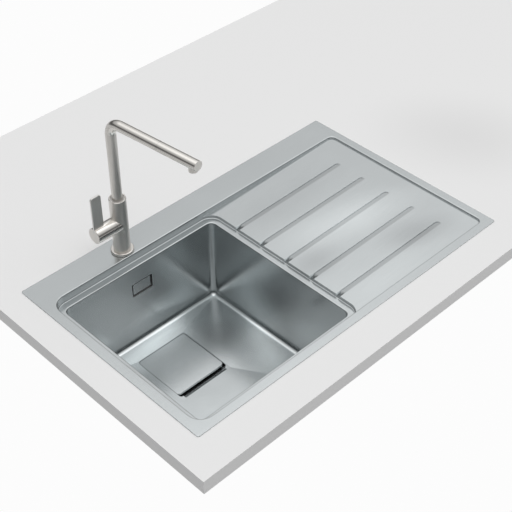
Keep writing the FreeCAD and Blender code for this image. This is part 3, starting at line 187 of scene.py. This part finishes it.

# Painted light and shade: soft lighter and darker areas of tone standing in for reflections in the steel and
# shade on the worktop; centre, half sizes, turn about the upright in degrees, strength.
# painted reflections on the drainer: a bright diagonal band and darker soft areas
DRAINER_PAINTED_REFLECTIONS = (
    ((0.21, -0.03, 0), (0.26, 0.085, 1), -15, 0.22),
    ((0.285, -0.165, 0), (0.13, 0.06, 1), -15, -0.18),
    ((0.13, -0.21, 0), (0.16, 0.06, 1), 0, 0.06),
    ((0.06, -0.08, 0), (0.10, 0.06, 1), 0, -0.16),
    ((0.16, 0.11, 0), (0.22, 0.07, 1), -5, -0.07),
)
# painted reflections in the bowl: lighter areas on the right wall, the back wall and the floor, and painted
# shade, darker, on the floor in the right back corner
BOWL_PAINTED_REFLECTIONS = (
    ((0.01, 0.03, -0.19), (0.02, 0.10, 0.10), 0, 0.75),  # right wall
    ((-0.13, 0.179, -0.19), (0.13, 0.02, 0.07), 0, 0.65),  # back wall
    ((-0.25, 0.135, -0.23), (0.17, 0.055, 0.02), 0, 0.45),  # floor along the back wall
    ((-0.09, 0.06, -0.23), (0.09, 0.08, 0.02), 0, -0.32),  # floor in the right back corner
    ((-0.05, -0.07, -0.23), (0.06, 0.08, 0.02), 0, 0.30),  # floor along the right wall
)
# painted shade on the worktop: a broad soft darker area towards the back right
WORKTOP_PAINTED_SHADE = (((0.63, -0.02, 0), (0.22, 0.30, 1), 30, -0.09),)

finishes = {
    # top_steel and bowl_steel carry the painted reflections listed above
    "top_steel": brushed("top_steel", TOP_STEEL, STEEL_ROUGH, ALONG_X, edge=PRESSED_EDGE,
                         painted_reflections=DRAINER_PAINTED_REFLECTIONS),
    "bowl_steel": brushed("bowl_steel", BOWL_STEEL, STEEL_ROUGH, ALONG_X_AND_Y, painted_reflections=BOWL_PAINTED_REFLECTIONS),
    "cover_steel": brushed("cover_steel", TOP_STEEL, STEEL_ROUGH, ALONG_X),
    "waste_steel": brushed("waste_steel", (0.66, 0.67, 0.68), STEEL_ROUGH),
    "tap_nickel": brushed("tap_nickel", (0.68, 0.66, 0.63), 0.15, ALONG_Z, upright=0.36),
    "blade_nickel": brushed("blade_nickel", (0.72, 0.71, 0.69), 0.45, ALONG_Z),
    "zinc": plain("zinc", (0.60, 0.61, 0.60), 0.38, 1.0, 0.05),
    "brass_plain": plain("brass_plain", (0.74, 0.55, 0.27), 0.30, 1.0, 0.03),
    "copper_plain": plain("copper_plain", (0.78, 0.43, 0.28), 0.28, 1.0, 0.03),
    "seal_rubber": plain("seal_rubber", (0.03, 0.03, 0.03), 0.75, 0.0, 0.1, specular=0.3),
    "seal_foam": plain("seal_foam", (0.20, 0.20, 0.21), 0.9, 0.0, 0.3, 900.0, specular=0.2),
    "pad_black": plain("pad_black", (0.05, 0.05, 0.055), 0.85, 0.0, 0.4, 500.0, specular=0.3),
    "plastic_white": plain("plastic_white", (0.78, 0.78, 0.76), 0.42, 0.0, 0.03),
    "plastic_grey": plain("plastic_grey", (0.30, 0.305, 0.31), 0.45, 0.0, 0.05),
    "plastic_black": plain("plastic_black", (0.025, 0.025, 0.028), 0.45, 0.0, 0.05),
    "hose_grey": plain("hose_grey", (0.14, 0.14, 0.15), 0.6, 0.0, 0.5, 1200.0),
    "disc_white": plain("disc_white", (0.86, 0.85, 0.82), 0.2),
}
slot_of = {s["node"]: s["material_slot"] for s in frame["record"]["subparts"]}
# The bush's rim shows as a thin grey ring between the tap's body and tube, not black as its slot is.
shown_as = {"spout_bush": plain("bush_grey", (0.42, 0.41, 0.40), 0.40, 0.0, 0.05)}
for name, piece in nodes.items():
    piece.data.materials.clear()
    piece.data.materials.append(shown_as.get(name) or finishes[slot_of[name]])


# ---------------------------------------------------------------- worktop and backdrop
def slab(name, span_x, span_y, span_z, cut_out):
    """A flat slab with a rectangular cut-out round the origin, given by its half sizes."""
    half_x, half_y = cut_out
    xs = (span_x[0], -half_x, half_x, span_x[1])
    ys = (span_y[0], -half_y, half_y, span_y[1])
    verts = [(x, y, z) for z in span_z for y in ys for x in xs]
    row = len(xs)
    layer = len(xs) * len(ys)
    faces = []
    for j in range(len(ys) - 1):
        for i in range(len(xs) - 1):
            if i == 1 and j == 1:
                continue
            a = j * row + i
            b = a + layer
            faces.append((a, a + row, a + row + 1, a + 1))
            faces.append((b, b + 1, b + row + 1, b + row))
    # the lower layer's corners, round the outside and round the cut-out
    outside = [0, 1, 2, 3, 7, 11, 15, 14, 13, 12, 8, 4]
    inside = [5, 9, 10, 6]
    for ring in (outside, inside):
        for a, b in zip(ring, ring[1:] + ring[:1]):
            faces.append((a, b, b + layer, a + layer))
    mesh = bpy.data.meshes.new(name)
    mesh.from_pydata(verts, [], faces)
    mesh.update()
    obj = bpy.data.objects.new(name, mesh)
    scene.collection.objects.link(obj)
    return obj


worktop_mat, wt = material("worktop")
# the worktop's grey carries the painted shade towards the back right
finish_material(wt, wt.add("ShaderNodeBsdfPrincipled", {
    "Base Color": wt.tinted((0.72, 0.72, 0.72), wt.painted_light_spots(WORKTOP_PAINTED_SHADE)), "Roughness": 0.55,
    "Specular IOR Level": 0.3}))
worktop = slab("worktop", (-0.489, 1.35), (-0.344, 0.742), (-0.033, 0.0), (0.420, 0.255))
worktop.data.materials.append(worktop_mat)

# ---------------------------------------------------------------- light
# The studio's light as (direction, level): by height, the sine of the elevation, and along the part's X axis.
HEIGHT_LIGHT = ((-1, 0.82), (-0.15, 0.80), (-0.04, 0.35), (0.08, 0.14), (0.26, 0.18), (0.40, 0.64),
                (0.574, 0.80), (0.66, 0.92), (0.75, 1.42), (0.88, 2.0), (1.0, 2.5))
SIDE_LIGHT = ((-1, 0.70), (-0.42, 0.80), (0.0, 0.80), (0.30, 0.80), (0.43, 0.90), (0.60, 1.10), (1.0, 1.20))
BACKDROP = (0.975, 0.975, 0.975, 1)
world = bpy.data.worlds.new("studio")
scene.world = world
world.use_nodes = True
world.node_tree.nodes.clear()
w = Tree(world.node_tree)
direction = w.add("ShaderNodeTexCoord").outputs["Generated"]
parts = w.add("ShaderNodeSeparateXYZ", {"Vector": direction})
lit = w.math("MULTIPLY", w.curve(parts.outputs["Z"], -1, 1, HEIGHT_LIGHT),
             w.curve(parts.outputs["X"], -1, 1, SIDE_LIGHT))
light_only = w.add("ShaderNodeBackground", {"Color": (1.0, 1.0, 1.0, 1), "Strength": lit})
seen = w.add("ShaderNodeBackground", {"Color": BACKDROP, "Strength": 1.0})
pick = w.add("ShaderNodeMixShader", {0: w.add("ShaderNodeLightPath").outputs["Is Camera Ray"],
                                     1: light_only.outputs[0], 2: seen.outputs[0]})
w.add("ShaderNodeOutputWorld", {"Surface": pick.outputs[0]})

# ---------------------------------------------------------------- camera
# Solved from the corners of the top in the photograph.
EYE_AT = (-1.3046, -1.3182, 1.6153)
RIGHT = Vector((0.71609508, -0.69799132, -0.00399411))
DOWN = Vector((-0.46074031, -0.46837655, -0.75388446))
AHEAD = Vector((0.52433406, 0.5416932, -0.65699488))
camera = bpy.data.cameras.new("camera")
camera.sensor_width = 36.0
camera.lens = 83.17
camera.clip_end = 50.0
eye = bpy.data.objects.new("camera", camera)
scene.collection.objects.link(eye)
eye.matrix_world = Matrix.Translation(EYE_AT) @ Matrix((RIGHT, -DOWN, -AHEAD)).transposed().to_4x4()
scene.camera = eye
